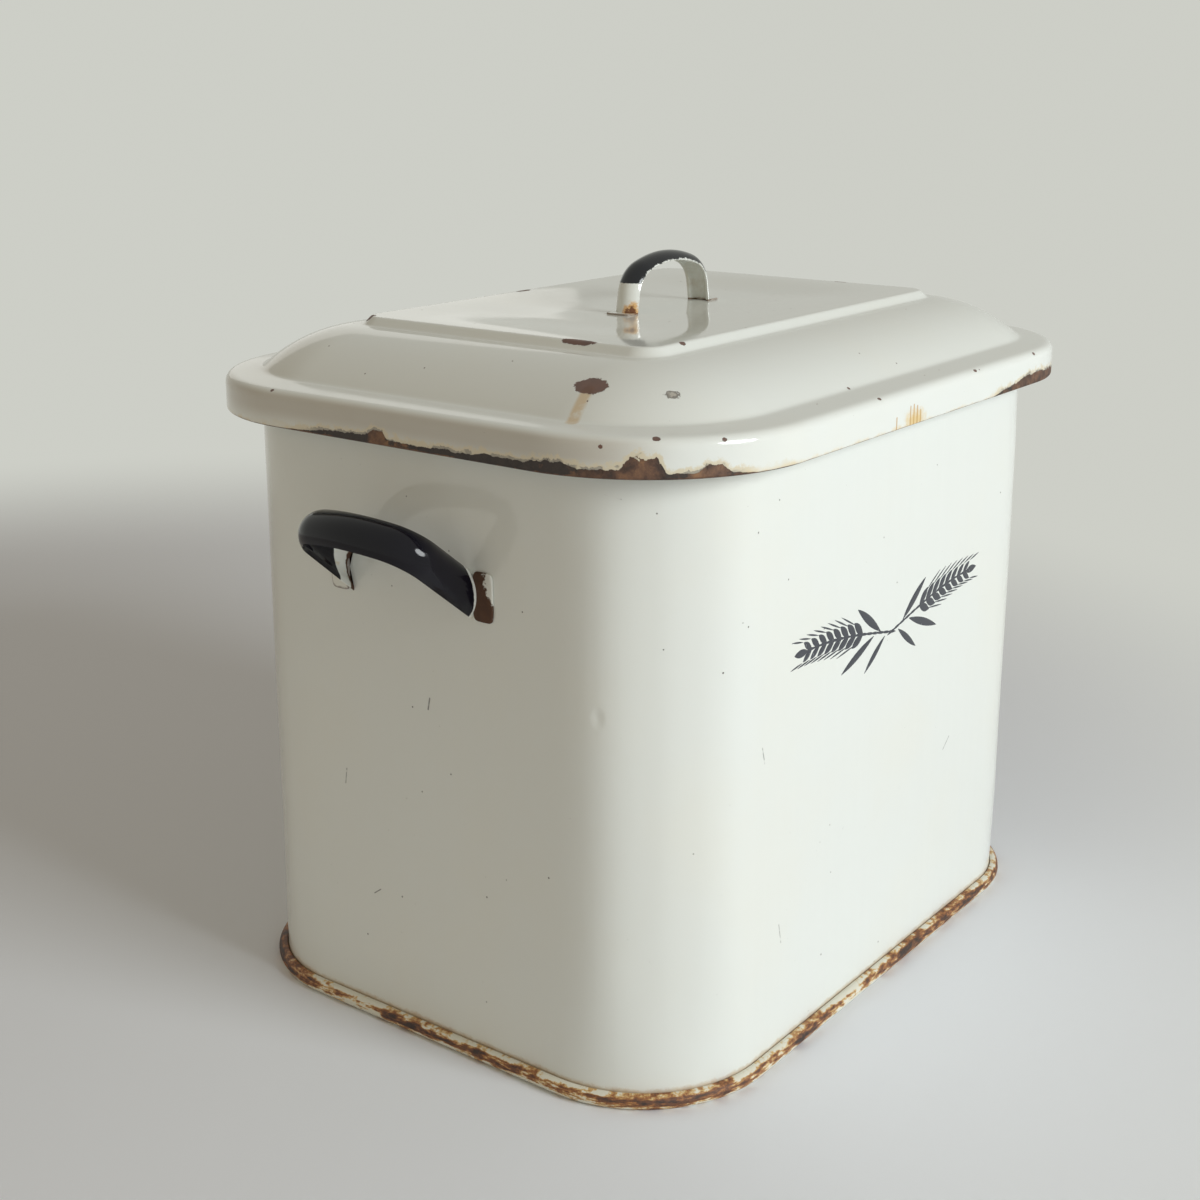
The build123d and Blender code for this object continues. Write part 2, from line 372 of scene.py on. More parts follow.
# Base pan: a shallow pressed pan that sits up inside the wall, its edge rolled out and over the wall's flange
# to make the bead that the bin stands on. The enamel there is cream, and flakes off over rust.
floor_top = 8.0
floor_bottom = floor_top - sheet
floor_edge = -20.0
floor_flat = -9.0
floor_bend = -4.1
pan_radius = 2.0
pan_side = floor_bend + pan_radius
sole_start = 0.6
sole_end = 1.35
bead_radius = 3.25
bead_top = 2 * bead_radius
lip_start = 0.75
lip_radius = 0.35
lip_end = (0.45, 5.6)


def filled(ring_distance, height, shares):
    """Rings that fill the bin's outline flat: the outline at that distance, shrunk to each share of its size."""
    outline = carried([(ring_distance, height)])
    return outline * np.stack([shares, shares, np.ones_like(shares)], -1)[:, None]


pan_profile = np.vstack([
    [(floor_edge, floor_bottom), (floor_flat, floor_bottom)],
    bend((floor_bend, floor_bottom), 0, pan_radius, -90, 6),
    bend((pan_side, pan_radius), -90, pan_radius, 90, 7),
    [(sole_start, 0)],
    bend((sole_end, 0), 0, bead_radius, 180, 29),
    bend((lip_start, bead_top), 180, lip_radius, 90, 4),
    [lip_end, (sole_start, bead_top - sheet)],
    bend((sole_end, sheet), 0, bead_radius - sheet, 180, 11)[::-1],
    [(sole_start, sheet)],
    bend((pan_side + sheet, pan_radius), -90, pan_radius - sheet, 90, 5)[::-1],
    bend((floor_bend, floor_top), 0, pan_radius + sheet, -90, 7)[::-1],
    [(floor_flat, floor_top), (floor_edge, floor_top)],
])
inwards = np.linspace(0.97, 0.03, 20)
pan_rings = np.concatenate([
    filled(floor_edge, floor_bottom, inwards[::-1]), carried(pan_profile), filled(floor_edge, floor_top, inwards),
])
arc = np.r_[0, np.cumsum(np.linalg.norm(np.diff(core + corner_radius * outward, axis=0), axis=1))]
once_round = 2 * np.pi * arc / (arc[-1] + arc[1])
streak_radius = 34.0
ring_x, ring_y = (np.r_[np.tile(streak_radius * turn(once_round), len(pan_rings)), 0, 0] for turn in (np.cos, np.sin))
base_pan = piece("base_bead_and_floor", "bin", "cream_enamel", [shell(pan_rings, 1)], ring_x=ring_x, ring_y=ring_y)
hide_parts("base_pan")


def attribute(where, key):
    """A value that the points of the mesh carry."""
    return where.make("Attribute", {"attribute_name": key}, {}, "Fac")


shader, where = finish_for(base_pan, "bead_enamel")
_, gloss, peel = enamel_white(where)
z = coordinate(where, "Z")
ring_place = z.make("CombineXYZ", {}, {0: attribute(where, "ring_x"), 1: attribute(where, "ring_y"), 2: z})
streak = noise(ring_place, 1.5, 4, 0.65)
worn = 1.1 * streak + 0.7 * noise(where, 10, 5, 0.7) + 0.9 * noise(where, 60, 2) - 0.84
worn = worn + 0.2 * rise(z, 1.6, 3.8) - 0.18 * rise(z, 5.2, 6.4) - 0.24 * rise(z, 6.6, 7.0)
stops = (
    (0.48, (0.74, 0.72, 0.61, 1)), (0.55, (0.66, 0.45, 0.19, 1)), (0.62, (0.37, 0.155, 0.050, 1)),
    (0.71, (0.165, 0.068, 0.032, 1)), (0.86, (0.045, 0.026, 0.020, 1)),
)
bare = rise(worn, 0.56, 0.66)
feed(shader, Base_Color=worn.make("ValToRGB", {"stops": stops}, {0: worn}), Roughness=gloss + 0.5 * bare)
bumped(shader, 0.03 * peel - 0.25 * bare + 0.25 * bare * noise(where, 1.5, 4, 0.7))

# End handles: half-round steel strap bent into an arch, with flat feet welded to the end walls before enamelling.
# They are black over a white ground, which shows where the black stops, and the welds have rusted.
side_seat_height = 205.5
side_setback = 7.5
strap_thickness = 1.6
strap_ease = 0.15
strap_lip = 0.4
strap_drop = 0.12


def arch_line(span, reach, crown, splay, bend_radius, arch_radius, leg_steps):
    """The strap's inner line in its own plane, and its outward directions.

    Two straight legs that lean in by the splay run into a tight bend each, and a flat arc joins the bends.
    """
    s = np.radians(splay)
    half = span / 2
    drop = reach - crown - arch_radius
    turn = np.arcsin((half * np.cos(s) - drop * np.sin(s) - bend_radius) / (arch_radius - bend_radius)) - s
    first = np.linspace(s, np.pi / 2 - turn, 16)
    middle = np.array([-(arch_radius - bend_radius) * np.sin(turn), drop + (arch_radius - bend_radius) * np.cos(turn)])
    knuckle = middle + bend_radius * np.stack([-np.cos(first), np.sin(first)], -1)
    top = np.linspace(-turn, 0, 14)[1:]
    crest = np.stack([arch_radius * np.sin(top), drop + arch_radius * np.cos(top)], -1)
    leg = np.linspace((-half, 0), knuckle[0], leg_steps)[:-1]
    line = np.vstack([leg, knuckle, crest])
    facing = np.r_[np.full(leg_steps - 1, np.pi - s), np.pi - first, np.pi / 2 - top]
    line = np.vstack([line, line[-2::-1] * (-1, 1)])
    facing = np.r_[facing, np.pi - facing[-2::-1]]
    return line, np.stack([np.cos(facing), np.sin(facing)], -1)


def strap_handle(name, body, seat, along, normal, tilt, span, reach, width, crown, splay, bend_radius, arch_radius,
                 foot_length, foot_thickness):
    """A strap handle standing on its seat: a half-round section carried along its arch, and two flat feet.

    The arch is turned by `tilt` from the seat's normal, and the ends of the strap are cut off at the seat. Points
    on the strap's inside are marked, and points of the feet have their share of the way out to the foot's edge.
    The section is an arc as high as the crown with a smaller arc hollowed out, and a foot's outline is a squared
    circle, stepped up through the levels of its rounded rim.
    """
    seat, along, normal = (np.array(v, float) for v in (seat, along, normal))
    lean = np.radians(tilt)
    rise_line = normal * np.cos(lean) + np.cross(normal, along) * np.sin(lean)
    across = np.cross(along, rise_line)
    line, facing = arch_line(span, reach, crown, splay, bend_radius, arch_radius, 7)
    half = width / 2
    outer = np.linspace(-1, 1, 19) * (half - strap_ease)
    inner = np.linspace(1, -1, 13) * (half - strap_thickness)
    bow = (half * half - crown * crown) / (2 * crown)
    curve = np.sqrt(np.maximum((crown + bow) ** 2 - outer ** 2, 0)) - bow
    hollow = np.sqrt((crown + bow - strap_thickness) ** 2 - inner ** 2) - bow
    section = np.vstack([
        np.stack([outer, curve], -1), [(half - strap_lip, -strap_drop)],
        np.stack([inner, np.maximum(hollow, 0)], -1), [(strap_lip - half, -strap_drop)],
    ])
    flat = line[:, None] + section[:, 1, None] * facing[:, None]
    rings = seat + flat[..., :1] * along + flat[..., 1:] * rise_line + section[None, :, :1] * across
    for end, leg in ((0, line[1] - line[0]), (-1, line[-2] - line[-1])):
        down = leg[0] * along + leg[1] * rise_line
        sunk = (rings[end] - seat) @ normal / (down @ normal)
        rings[end] -= sunk[:, None] * down
    skins = [shell(rings, 1)]
    inside = [np.r_[np.tile(np.arange(len(section)) >= len(outer), len(line)), 0, 0]]
    edge = [np.zeros(len(inside[0]))]
    around = np.linspace(0, 2 * np.pi, 48, endpoint=False)
    square = np.stack([np.cos(around), np.sin(around)], -1)
    squareness = 0.35
    square = np.sign(square) * np.abs(square) ** squareness
    middle_share = 0.05
    level = np.array([
        (middle_share, -0.1), (0.96, -0.1), (1.0, 0.1), (1.0, 0.5), (0.985, 0.8), (0.95, 0.95), (0.88, 1.0),
        (middle_share, 1.0),
    ])
    start, stop = span / 2 + crown / 2, span / 2 + crown + foot_length
    plate = level[:, None, :1] * square * ((stop - start) / 2, half / np.cos(lean))
    rise_by = np.broadcast_to(level[:, None, 1:] * foot_thickness, plate.shape[:2] + (1,))
    turned = np.cross(normal, along)
    for side in (-1, 1):
        middle = side * (start + stop) / 2
        points = seat + (middle + plate[..., :1]) * along + plate[..., 1:] * turned + rise_by * normal
        skins.append(shell(points, 1))
        edge.append(np.r_[np.repeat(level[:, 0], len(square)), middle_share, middle_share])
        inside.append(np.zeros(len(edge[-1])))
    return piece(name, body, "black_enamel", skins, inside=np.concatenate(inside), edge=np.concatenate(edge))


end_sizes = {
    "tilt": 39.0, "span": 64.0, "reach": 49.0, "width": 16.0, "crown": 4.5, "splay": 4.0, "bend_radius": 15.0,
    "arch_radius": 75.0, "foot_length": 8.0, "foot_thickness": 1.0,
}
end_handles = [
    strap_handle(name, "bin", (end * half_width, side_setback, side_seat_height), (0, end, 0), (end, 0, 0), **end_sizes)
    for name, end in (("end_handle_left", -1), ("end_handle_right", 1))
]
for made, node in zip(end_handles, ("side_handle_left", "side_handle_right")):
    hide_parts(node)
    shader, where = finish_for(made, node + "_enamel")
    x, y, z = (coordinate(where, axis) for axis in "XYZ")
    edge = attribute(where, "edge")
    near = rise(y, 12, 4)
    ragged = noise(where, 4, 4, 0.65) - 0.5
    low = rise(z, side_seat_height + 10, side_seat_height - 10)
    away = abs(x) - half_width
    black = rise(away + 1.0 * ragged + 1.3 * low - 6.5 * (1 - near), 2.6, 3.0)
    torn = noise(where, 4, 5, 0.7) - 0.5
    foot_rust = rise(y + 5.0 * low + 11.0 * torn, -33.6, -32.8) * near
    outline = rise(edge + 0.4 * torn, 0.86, 0.97) * (1 - near)
    on_foot = rise(edge, 0.0, 0.04)
    seam = rise(away + 3.0 * torn, 2.3, 1.7) * (1 - near)
    bare = on_foot * (foot_rust + 0.7 * outline) + (1 - on_foot) * seam
    cream = over(rise(ragged, 0.05, 0.3), (0.74, 0.75, 0.70, 1), (0.66, 0.55, 0.34, 1))
    brown = over(noise(where, 6, 4, 0.65), (0.052, 0.028, 0.020, 1), (0.125, 0.062, 0.034, 1))
    colour = over(black, over(bare, cream, brown), (0.0052, 0.0047, 0.0086, 1))
    worn = rise(noise(where, 2.2, 4, 0.7), 0.70, 0.74) * rise(noise(where, 20, 2), 0.5, 0.7)
    colour = over(0.5 * worn * black, colour, (0.09, 0.085, 0.08, 1))
    dull = 0.08 + 0.12 * rise(noise(where, 11, 4, 0.6), 0.45, 0.75)
    shader.inputs["Specular IOR Level"].default_value = 0.28
    feed(shader, Base_Color=colour, Roughness=dull + 0.6 * bare + 0.15 * worn)
    bumped(shader, 0.05 * noise(where, 7, 2) + 0.12 * black - 0.15 * bare + 0.2 * bare * noise(where, 1.4, 4, 0.7))

# Lid: one sheet drawn into a skirt, a narrow ledge, a low dome and a stepped top panel that is pressed slightly
# hollow. The skirt's edge is folded inside. White enamel, knocked off along the edge, where the dark ground coat
# and rust show.
skirt_reach = 15.6
skirt_bottom = 264.4
shoulder_start = 276.0
shoulder_radius = 4.0
ledge_fall = 5.8
dome_foot = (-0.5, 281.26)
dome_top = (-45.0, 299.06)
panel_edge = (-48.6, 302.66)
panel_join = -53.3
panel_hollow = 2.2
hollow_run = 50.0
dome_bulge = 20.0
shoulder_ease = 0.9
panel_ease = 0.6
hem_radius = 1.0
hem_clear = 5.6


def eased(corners, sigma, count):
    """A profile with its corners eased.

    It is cut into fine steps and averaged with a bell curve, then thinned to a count of points, which lie closest
    where it bends.
    """
    step = 0.1
    bend_weight = 2.2
    corners = np.asarray(corners, float)
    run = np.r_[0, np.cumsum(np.linalg.norm(np.diff(corners, axis=0), axis=1))]
    steps = np.linspace(0, run[-1], int(run[-1] / step))
    fine = np.stack([np.interp(steps, run, corners[:, k]) for k in (0, 1)], -1)
    reach = int(4 * sigma / step)
    bell = np.exp(-0.5 * (np.arange(-reach, reach + 1) * step / sigma) ** 2)
    padded = np.vstack([2 * fine[0] - fine[reach:0:-1], fine, 2 * fine[-1] - fine[-2:-reach - 2:-1]])
    soft = np.stack([np.convolve(padded[:, k], bell / bell.sum(), "valid") for k in (0, 1)], -1)
    heading = np.unwrap(np.arctan2(*np.gradient(soft, axis=0).T[::-1]))
    weight = np.r_[0, np.cumsum(step + bend_weight * np.abs(np.diff(heading)))]
    return np.stack([np.interp(np.linspace(0, weight[-1], count), weight, soft[:, k]) for k in (0, 1)], -1)


chord = np.subtract(dome_top, dome_foot)
dome_radius = np.hypot(*chord) / 2 / np.sin(np.radians(dome_bulge))
dome_heading = np.degrees(np.arctan2(chord[1], chord[0])) - dome_bulge
dome = bend(dome_foot, dome_heading, dome_radius, 2 * dome_bulge, 41)
shoulder = bend((skirt_reach, shoulder_start), 90, shoulder_radius, 90 - ledge_fall, 14)
lid_skin = np.vstack([
    eased(np.vstack([[(skirt_reach, skirt_bottom + hem_radius)], shoulder, dome[:21]]), shoulder_ease, 64)[:-1],
    eased(np.vstack([dome[20:], [panel_edge, (panel_join, panel_edge[1])]]), panel_ease, 56),
])
tangent = np.gradient(lid_skin, axis=0)
tangent /= np.linalg.norm(tangent, axis=1)[:, None]
lining = (lid_skin + sheet * np.stack([-tangent[:, 1], tangent[:, 0]], -1))[::-2]
lining = lining[lining[:, 1] > skirt_bottom + hem_clear]
hem_edge = np.array([(-1.0, 5.3), (-1.35, 5.0), (-2.0, 4.6), (-2.0, 2.5)])
fold = np.vstack([
    (skirt_reach, skirt_bottom) + hem_edge * (sheet, 1),
    bend((skirt_reach - 2 * sheet, skirt_bottom + hem_radius), -90, hem_radius, 180, 11)[:-1],
])


def panel_rings(height, shares):
    """Rings that fill the panel: it sinks from its edge to a flat field by a product of two smooth steps."""
    rings = filled(panel_join, height, shares)
    room = np.array([half_width, half_depth]) + panel_join - np.abs(rings[..., :2])
    share = np.clip(room / hollow_run, 0, 1)
    step = share * share * (3 - 2 * share)
    rings[..., 2] -= panel_hollow * step[..., 0] * step[..., 1]
    return rings


inwards = np.linspace(0.985, 0.03, 46)
lid_rings = np.concatenate([
    panel_rings(panel_edge[1] - sheet, inwards[::-2]), carried(np.vstack([lining, fold, lid_skin])),
    panel_rings(panel_edge[1], inwards),
])
# Chips along the skirt's edge: a place along the wall's outline, how high the enamel is gone, how rusty it is there.
chips = np.array([
    (0, 1.5, 0.3), (90, 4, 0.6), (130, 1, 0.4), (215, 1, 0.5), (240, 4, 0.7), (275, 1, 0.4), (360, 2, 0.5),
    (395, 4, 0.7), (428, 5.6, 0.8), (440, 5.0, 0.8), (450, 3.0, 0.7), (466, 1.5, 0.5), (473, 0.4, 0.5),
    (480, 0.1, 0.5), (640, 0.1, 0.5), (646, 0.5, 0.5), (659, 0.4, 0.6), (668, 1.6, 0.5), (672, 5.6, 0.9),
    (676, 5.0, 0.9), (679, 2.2, 0.5), (688, 2.4, 0.5), (690, 7.8, 1), (699, 8.0, 1), (701, 4.4, 0.9),
    (709, 3.4, 0.7), (713, 3.2, 0.5), (720, 5.2, 0.3), (728, 5.0, 0.3), (732, 3.4, 0), (752, 3.6, 0),
    (767, 2.4, 0.1), (771, 2.9, 0.2), (790, 2.5, 0.5), (802, 3.2, 0.5), (804, 5.6, 0.9), (810, 5.8, 0.9),
    (814, 3.3, 0.1), (832, 2.9, 0.2), (846, 1.2, 0.4), (858, 0.5, 0.6), (890, 0.2, 0.5), (960, 1, 0.4),
    (1000, 4, 0.7), (1065, 1.5, 0.3),
])
chip_reach, chip_rust = (
    np.r_[np.tile(np.interp(arc, chips[:, 0], chips[:, k]), len(lid_rings)), 0, 0] for k in (1, 2)
)
lid_shell = piece("lid_shell_enamelled", "lid", "white_enamel", [shell(lid_rings, 1)],
                  chip_reach=chip_reach, chip_rust=chip_rust)
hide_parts("lid_shell")


def rust_colour(where):
    """Rust: brown to near-black in cloudy patches, grainy to look at close by."""
    cloud = noise(where, 8, 4, 0.65) * 0.75 + noise(where, 1.6, 5, 0.7) * 0.25
    stops = (
        (0.34, (0.032, 0.020, 0.016, 1)), (0.46, (0.088, 0.046, 0.030, 1)), (0.56, (0.155, 0.080, 0.046, 1)),
        (0.68, (0.27, 0.140, 0.065, 1)),
    )
    return cloud.make("ValToRGB", {"stops": stops}, {0: cloud})


def blot(where, centre, radii, raggedness, grain):
    """Distance from a centre, counted in radii, with noise of that grain added so that its outline is ragged."""
    return gap_to(where, centre, radii) + raggedness * (noise(where, grain, 4, 0.7) - 0.5)


shader, where = finish_for(lid_shell, "lid_enamel")
colour, gloss, peel = enamel_white(where)
z = coordinate(where, "Z")
reach = attribute(where, "chip_reach")
tall = z - skirt_bottom
ragged = 0.9 * rise(reach, 0.2, 1.5) * (noise(where, 1.5, 3, 0.6) - 0.5)
lost = reach * (0.5 + noise(where, 5, 5, 0.65)) + ragged - tall
bare = rise(lost, -0.12, 0.12)
patchy = rise(noise(where, 11, 2), 0.46, 0.52) * rise(reach, 0.8, 2.0)
flaked = rise(lost + 3.4 * noise(where, 6, 4, 0.7), 0.75, 0.90) * patchy
fringe = rise(lost + 7.0 * noise(where, 6, 4, 0.7), 0.6, 2.4) * rise(reach, 0.1, 1.0)
ground = over(noise(where, 3, 4, 0.7), (0.017, 0.013, 0.012, 1), (0.062, 0.045, 0.037, 1))
rusted = attribute(where, "chip_rust") + 1.5 * (noise(where, 4, 5, 0.7) - 0.5)
rusty = rise(rusted + 0.4 * rise(tall, 1.2, 0.3), 0.40, 0.65)
under = over(rusty, ground, rust_colour(where))
seeping = rise(tall + 7.0 * noise(where, 9, 4, 0.65), 5.4, 2.4)
line = rise(tall + 0.8 * noise(where, 6, 3, 0.6), 1.1, 0.7)
bare_spots = (
    ((-147.8, -71.8, 292.3), (5.2, 7.2, 5.2)), ((-116.4, -42.2, 302.5), (2.3, 8.0, 2.3)),
    ((-8, 75.5, 302.5), (5, 2, 2)), ((-95.1, -77.7, 302.4), (1.8, 1.3, 1.6)), ((-114.5, 74.5, 302), (2.6, 2.6, 2.6)),
    ((-162.6, -112.9, 279.5), (1.5, 1.5, 1.0)), ((-144.5, -130.4, 278.3), (1.0, 1.0, 0.8)),
    ((-174.7, -96.8, 276.5), (0.8, 0.8, 0.8)), ((-44.3, -124.9, 281.8), (0.8, 0.8, 0.8)),
    ((102.5, -140.6, 278.6), (1.2, 1, 0.8)), ((60, 141.6, 273.5), (3, 2, 4)), ((181, 30, 274.5), (2, 4, 3)),
    ((116, -30, 302.5), (2, 4, 2)), ((-45.3, -139.7, 279.4), (1.1, 1, 0.7)), ((41.3, -140.2, 279), (1.3, 1, 0.7)),
    ((-178.5, 69.4, 279.4), (0.9, 0.9, 0.9)),
)
spots = largest(
    [pinholes(where, 12, 0.45), 0.8 * pinholes(where, 7, 0.16)]
    + [rise(blot(where, centre, radii, 1.1, 0.8 * max(radii)), 1.02, 0.92) for centre, radii in bare_spots]
)
chip = blot(where, (-136.4, -101.6, 290.4), (2.9, 2.9, 1.7), 1.5, 1.6)
flake = rise(chip, 1.0, 0.85)
streak = scratch(where, (-150, -72.6, 291.1), (-164.5, -76, 281.6), 3.4) * rise(noise(where, 5, 3, 0.6), 0.2, 0.6)
skirt_front = -half_depth - skirt_reach
cloud = rise(blot(where, (-17.4, skirt_front, 266.6), (12, 6, 6), 1.1, 3), 1.0, 0.25)
drip_start = 264.5
drips = ((-15.4, 272, 0.8), (-12.4, 270, 0.7), (-18.4, 273, 0.7), (-21.4, 272.6, 0.7), (-33.3, 269.7, 0.7))
drip = largest([
    scratch(where, (across, skirt_front, drip_start), (across, skirt_front, top), width) for across, top, width in drips
])
# Painted shade: a brownish-grey band darkens the upper skirt on both ends, just below the shoulder, in place of the
# shade the ends fall in.
end_skirt_painted_shade = rise(abs(coordinate(where, "X")), 158, 178) * rise(z, 264, 273) * rise(z, 280.2, 277.5)
colour = over(0.5 * end_skirt_painted_shade, colour, (0.36, 0.29, 0.21, 1))
colour = over(0.85 * fringe, colour, (0.68, 0.60, 0.43, 1))
colour = over(largest([0.6 * seeping, 0.85 * cloud]), colour, (0.72, 0.52, 0.20, 1))
colour = over(0.75 * drip, colour, (0.50, 0.27, 0.06, 1))
colour = over(0.65 * streak, colour, (0.60, 0.40, 0.16, 1))
colour = over(0.85 * flaked, colour, over(noise(where, 3, 3), (0.22, 0.20, 0.17, 1), (0.42, 0.39, 0.33, 1)))
colour = over(0.8 * flake, colour, over(rise(chip, 0.35, 0.75), (0.40, 0.36, 0.30, 1), (0.10, 0.075, 0.055, 1)))
colour = over(0.8 * line, colour, (0.16, 0.075, 0.028, 1))
colour = over(bare, colour, under)
colour = over(0.95 * spots, colour, over(noise(where, 4, 3), (0.075, 0.031, 0.023, 1), (0.165, 0.070, 0.044, 1)))
feed(shader, Base_Color=colour, Roughness=gloss + 0.5 * bare + 0.5 * spots + 0.2 * flake)
height = 0.02 * peel - 0.35 * bare - 0.15 * flaked - 0.3 * spots - 0.12 * flake
bumped(shader, height + 0.2 * bare * noise(where, 1.6, 4, 0.7))

# Lid handle: the same half-round strap in a smaller size, standing on the panel. Its arch was dipped black over
# the white, the white legs show below, and rust has started at the feet.
lid_seat_height = panel_edge[1] - panel_hollow
lid_handle_forward = 2.0
lid_handle_sizes = {
    "tilt": 0.0, "span": 57.0, "reach": 26.0, "width": 12.5, "crown": 4.3, "splay": 9.0, "bend_radius": 13.0,
    "arch_radius": 60.0, "foot_length": 4.0, "foot_thickness": 0.8,
}
lid_handle = strap_handle("lid_handle_strap", "lid", (0, -lid_handle_forward, lid_seat_height), (1, 0, 0), (0, 0, 1),
                          **lid_handle_sizes)
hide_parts("lid_handle")
shader, where = finish_for(lid_handle, "lid_handle_enamel")
colour, gloss, peel = enamel_white(where)
inside, edge = (attribute(where, key) for key in ("inside", "edge"))
up = coordinate(where, "Z") - lid_seat_height
dipped = rise(up + 0.9 * (noise(where, 3, 4, 0.65) - 0.5), 13.5, 13.8)
chips = rise(2.4 * (noise(where, 2.2, 4, 0.7) - 0.5) - coordinate(where, "Y"), 7.85, 8.1)
black = dipped * (1 - inside) * (1 - chips)
torn = noise(where, 3, 4, 0.7)
on_strap = 1 - rise(edge, 0.0, 0.04)
joint = rise(up + 1.8 * torn, 1.8, 1.2) * on_strap + 0.8 * rise(edge + 0.4 * torn, 1.06, 1.16)
spot = blot(where, (-30.0, -5.6, 300), (7.0, 4.4, 7.0), 1.5, 3)
# Painted shade: the strap's inside, under the arch, is darkened brownish in cloudy patches.
inside_painted_shade = 0.35 * inside * rise(noise(where, 6, 4, 0.6), 0.40, 0.65)
colour = over(inside_painted_shade, colour, (0.52, 0.45, 0.33, 1))
colour = over(0.9 * rise(spot, 1.0, 0.5), colour, (0.66, 0.36, 0.09, 1))
colour = over(0.9 * joint, colour, (0.17, 0.085, 0.035, 1))
colour = over(rise(spot, 0.55, 0.35), colour, (0.16, 0.06, 0.02, 1))
colour = over(black, colour, (0.0055, 0.0063, 0.0095, 1))
feed(shader, Base_Color=colour, Roughness=gloss + 0.05 * black + 0.4 * joint)
bumped(shader, 0.03 * peel + 0.12 * black - 0.1 * joint)

# Ornament: two wheat ears tied in the middle of the front, stencilled in slate-blue enamel and fired on.
# Each ear is a curved stalk with paired grains, long awns and three leaves.
ear_middle = (0.0, -half_depth, 168.5)
ear_thickness = 0.22
ear_sink_share = 0.3
stalk_rise = 9.0
stalk_foot = 8.0
stalk_run = 74.0
stalk_bend = 0.55 * np.pi


def petals(places, angles, lengths, widths):
    """Low almond-shaped mounds on the front face: one grid of height over length and width, laid at each place.

    Across, an almond is as wide as a sine arch to the power 0.8; its height falls off as a fourth power to its edge.
    """
    u = np.linspace(0.01, 0.99, 15)[:, None]
    v = np.linspace(-1, 1, 9)
    places = np.asarray(places, float)
    angles, lengths, widths = (np.asarray(t, float)[:, None, None] for t in (angles, lengths, widths))
    along = u * lengths
    off = np.sin(np.pi * u) ** 0.8 * v * widths / 2
    high = 1 - v ** 4
    x = places[:, :1, None] + along * np.cos(angles) - off * np.sin(angles) + ear_middle[0]
    z = places[:, 1:, None] + along * np.sin(angles) + off * np.cos(angles) + ear_middle[2]
    face = ear_middle[1] - ripple(x, ear_middle[1], z)
    return np.stack([x, face - ear_thickness * (high - ear_sink_share), z], -1)


def mound_skins(grids):
    """Closed skins of the mounds: each grid, and its underside pressed into the wall."""
    skins = []
    for grid in grids:
        under = grid[:, ::-1].copy()
        under[..., 1] += 2 * ear_thickness
        skins.append(shell(np.concatenate([grid, under[:, 1:-1]], 1), 1))
    return skins


def stalk(x):
    """Heights of an ear's stalk over the tie, on a slow sine arch, and its slopes."""
    z = stalk_rise * np.sin((x - stalk_foot) / stalk_run * stalk_bend)
    return z, np.arctan2(np.gradient(z), np.gradient(x))


def facing(side, angle):
    """An angle on the right ear, or its mirror image on the left ear."""
    return angle if side > 0 else np.pi - angle


grain = np.arange(8)
grain_x = 26 + 6.2 * grain
grain_z, grain_slope = stalk(grain_x)
grain_lengths, grain_widths, grain_lean = 10.5 - 0.35 * grain, 4.4 - 0.15 * grain, 0.55
awn_lengths, awn_widths, awn_lean, awn_start = 15 - 0.8 * grain, np.full(8, 0.9), 0.30 - 0.02 * grain, 8.5
end_grain_gap, end_grain_length, end_grain_width = 3.0, 11.0, 4.0
stem_x = np.linspace(-4, 66, 15)
stem_z, stem_slope = stalk(stem_x)
stem_lengths, stem_widths = np.full(15, 8.0), np.full(15, 1.5)
leaf_feet = np.array([(10.0, 1.0), (16.0, 0.5), (6.0, -2.0)])
leaf_angles = np.array([0.62, -0.35, -0.62])
leaf_lengths, leaf_widths = (26.0, 30.0, 22.0), (4.6, 4.2, 3.6)
mounds = []
for side in (-1, 1):
    for flank in (-1, 1):
        lean = grain_slope + flank * grain_lean
        root = np.stack([side * grain_x, grain_z], -1)
        tip = np.stack([side * (grain_x + awn_start * np.cos(lean)), grain_z + awn_start * np.sin(lean)], -1)
        mounds.append(petals(root, facing(side, lean), grain_lengths, grain_widths))
        mounds.append(petals(tip, facing(side, grain_slope + flank * awn_lean), awn_lengths, awn_widths))
    end_root = (side * (grain_x[-1] + end_grain_gap), grain_z[-1])
    mounds.append(petals([end_root], [facing(side, grain_slope[-1])], [end_grain_length], [end_grain_width]))
    mounds.append(petals(np.stack([side * stem_x, stem_z], -1), facing(side, stem_slope), stem_lengths, stem_widths))
    mounds.append(petals(leaf_feet * (side, 1), facing(side, leaf_angles), leaf_lengths, leaf_widths))
ornament = piece("front_wheat_ears", "bin", "black_enamel", mound_skins(np.concatenate(mounds)))
shader, where = finish_for(ornament, "slate_enamel")
worn = rise(noise(where, 2.5, 4, 0.7), 0.62, 0.70)
colour = over(0.5 * noise(where, 12, 3), (0.036, 0.040, 0.054, 1), (0.062, 0.067, 0.085, 1))
feed(shader, Base_Color=over(0.35 * worn, colour, (0.30, 0.31, 0.32, 1)), Roughness=0.22 + 0.15 * worn)

# Studio: a plain pale floor that fades into the background, a broad window-like light from the front, a weak fill
# from the left, a pale card behind that the lid mirrors, and the camera at the photograph's place.
background = (0.610, 0.620, 0.570)
floor_half = 6.0
floor_row = 25
lines = np.linspace(-floor_half, floor_half, floor_row)
floor_x, floor_y = np.meshgrid(lines, lines, indexing="ij")
floor_points = np.stack([floor_x, floor_y, np.zeros_like(floor_x)], -1).reshape(-1, 3)
i, j = np.meshgrid(np.arange(floor_row - 1), np.arange(floor_row - 1), indexing="ij")
first = i * floor_row + j
floor_faces = np.stack([first, first + floor_row, first + floor_row + 1, first + 1], -1).reshape(-1, 4)
floor_mesh = bpy.data.meshes.new("floor")
floor_mesh.from_pydata(floor_points.tolist(), [], floor_faces.tolist())
floor = bpy.data.objects.new("floor", floor_mesh)
bpy.context.scene.collection.objects.link(floor)


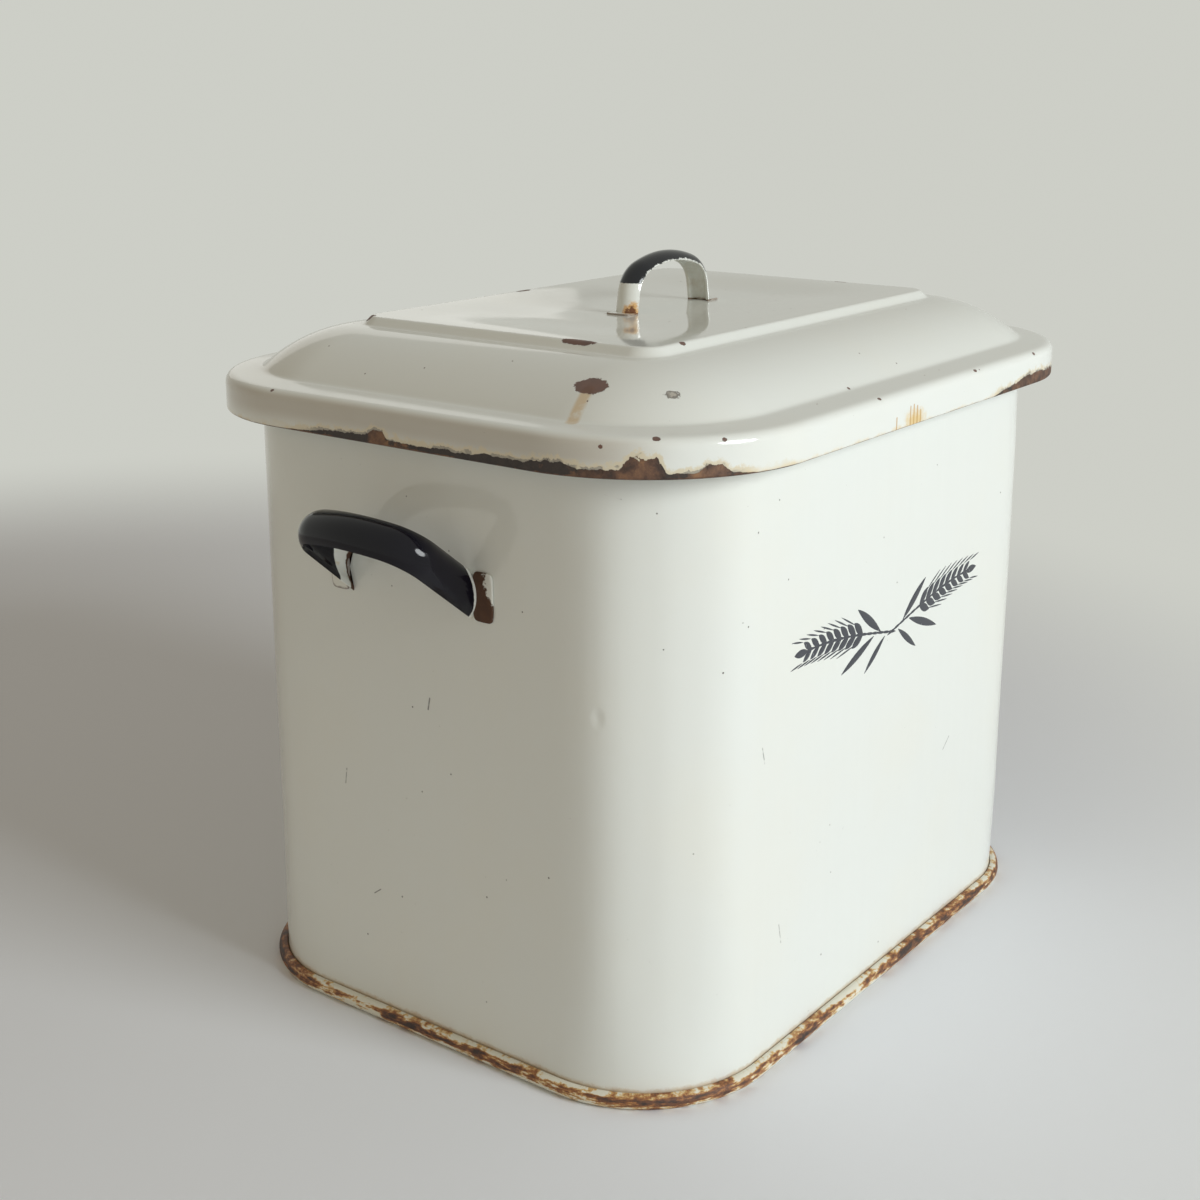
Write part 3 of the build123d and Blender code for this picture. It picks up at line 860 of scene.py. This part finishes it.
def seen_rays(tree):
    """1 for the rays that show the background: straight to the camera, or by way of gloss or glass."""
    rays = tree.nodes.new("ShaderNodeLightPath").outputs
    return largest([Sock(tree, rays[kind]) for kind in ("Is Camera Ray", "Is Glossy Ray", "Is Transmission Ray")])


shader, where = finish_for(floor, "floor_paper")
shader.inputs["Base Color"].default_value = (0.83, 0.855, 0.90, 1)
shader.inputs["Roughness"].default_value = 0.75
far = rise(gap_to(where, (-100, 350, 0), (1000, 1000, 1000)), 0.5, 0.95)
glow = far.make("Emission", {}, {"Color": (*background, 1), "Strength": 1.0})
paper = Sock(far.tree, shader.outputs["BSDF"])
faded = far.make("MixShader", {}, {0: far * seen_rays(far.tree), 1: paper, 2: glow})
far.tree.links.new(faded.socket, far.tree.nodes["Material Output"].inputs["Surface"])

world = bpy.data.worlds.new("studio")
bpy.context.scene.world = world
world.use_nodes = True
sky = world.node_tree
seen = seen_rays(sky)
light = seen.make("Background", {}, {"Color": (1.0, 0.905, 0.755, 1), "Strength": 0.276})
pale = seen.make("Background", {}, {"Color": (*background, 1), "Strength": 1.0})
both = seen.make("MixShader", {}, {0: seen, 1: light, 2: pale})
sky.links.new(both.socket, sky.nodes["World Output"].inputs["Surface"])


def lamp(name, place, aim, size, power, colour, mirrored=True):
    """An elliptical soft light at a place, facing an aim, which gloss may mirror and the camera doesn't see."""
    made = bpy.data.lights.new(name, "AREA")
    made.shape = "ELLIPSE"
    made.size, made.size_y = size
    made.energy = power
    made.color = colour
    held = bpy.data.objects.new(name, made)
    held.location = place
    held.rotation_euler = (Vector(aim) - Vector(place)).to_track_quat("-Z", "Y").to_euler()
    held.visible_glossy = mirrored
    held.visible_camera = False
    bpy.context.scene.collection.objects.link(held)


lamp("window", (0.05, -2.15, 1.00), (0, 0, 0.16), (1.0, 1.0), 38.0, (0.96, 1.0, 1.01))
lamp("card", (0.83, 1.22, 0.66), (0.0, 0.0, 0.30), (0.95, 0.62), 0.58, (1.0, 0.99, 0.95))
lamp("fill", (-2.2, 0.4, 0.9), (0, 0, 0.18), (1.6, 1.6), 3.8, (1.0, 0.76, 0.42), mirrored=False)

camera = bpy.data.objects.new("camera", bpy.data.cameras.new("camera"))
bpy.context.scene.collection.objects.link(camera)
bpy.context.scene.camera = camera
camera_place = (-0.6745, -0.4734, 0.4117)
azimuth, elevation = np.radians((-53.062, 14.444))
backward = Vector((np.sin(azimuth) * np.cos(elevation), -np.cos(azimuth) * np.cos(elevation), np.sin(elevation)))
rightward = Vector((np.cos(azimuth), np.sin(azimuth), 0))
turn = Matrix((rightward, backward.cross(rightward), backward)).transposed()
camera.matrix_world = Matrix.Translation(camera_place) @ turn.to_4x4()
camera.data.sensor_width = 36.0
camera.data.lens = 53.39
camera.data.shift_x = -0.0017
camera.data.shift_y = -0.0694
bpy.context.scene.view_settings.view_transform = "Standard"
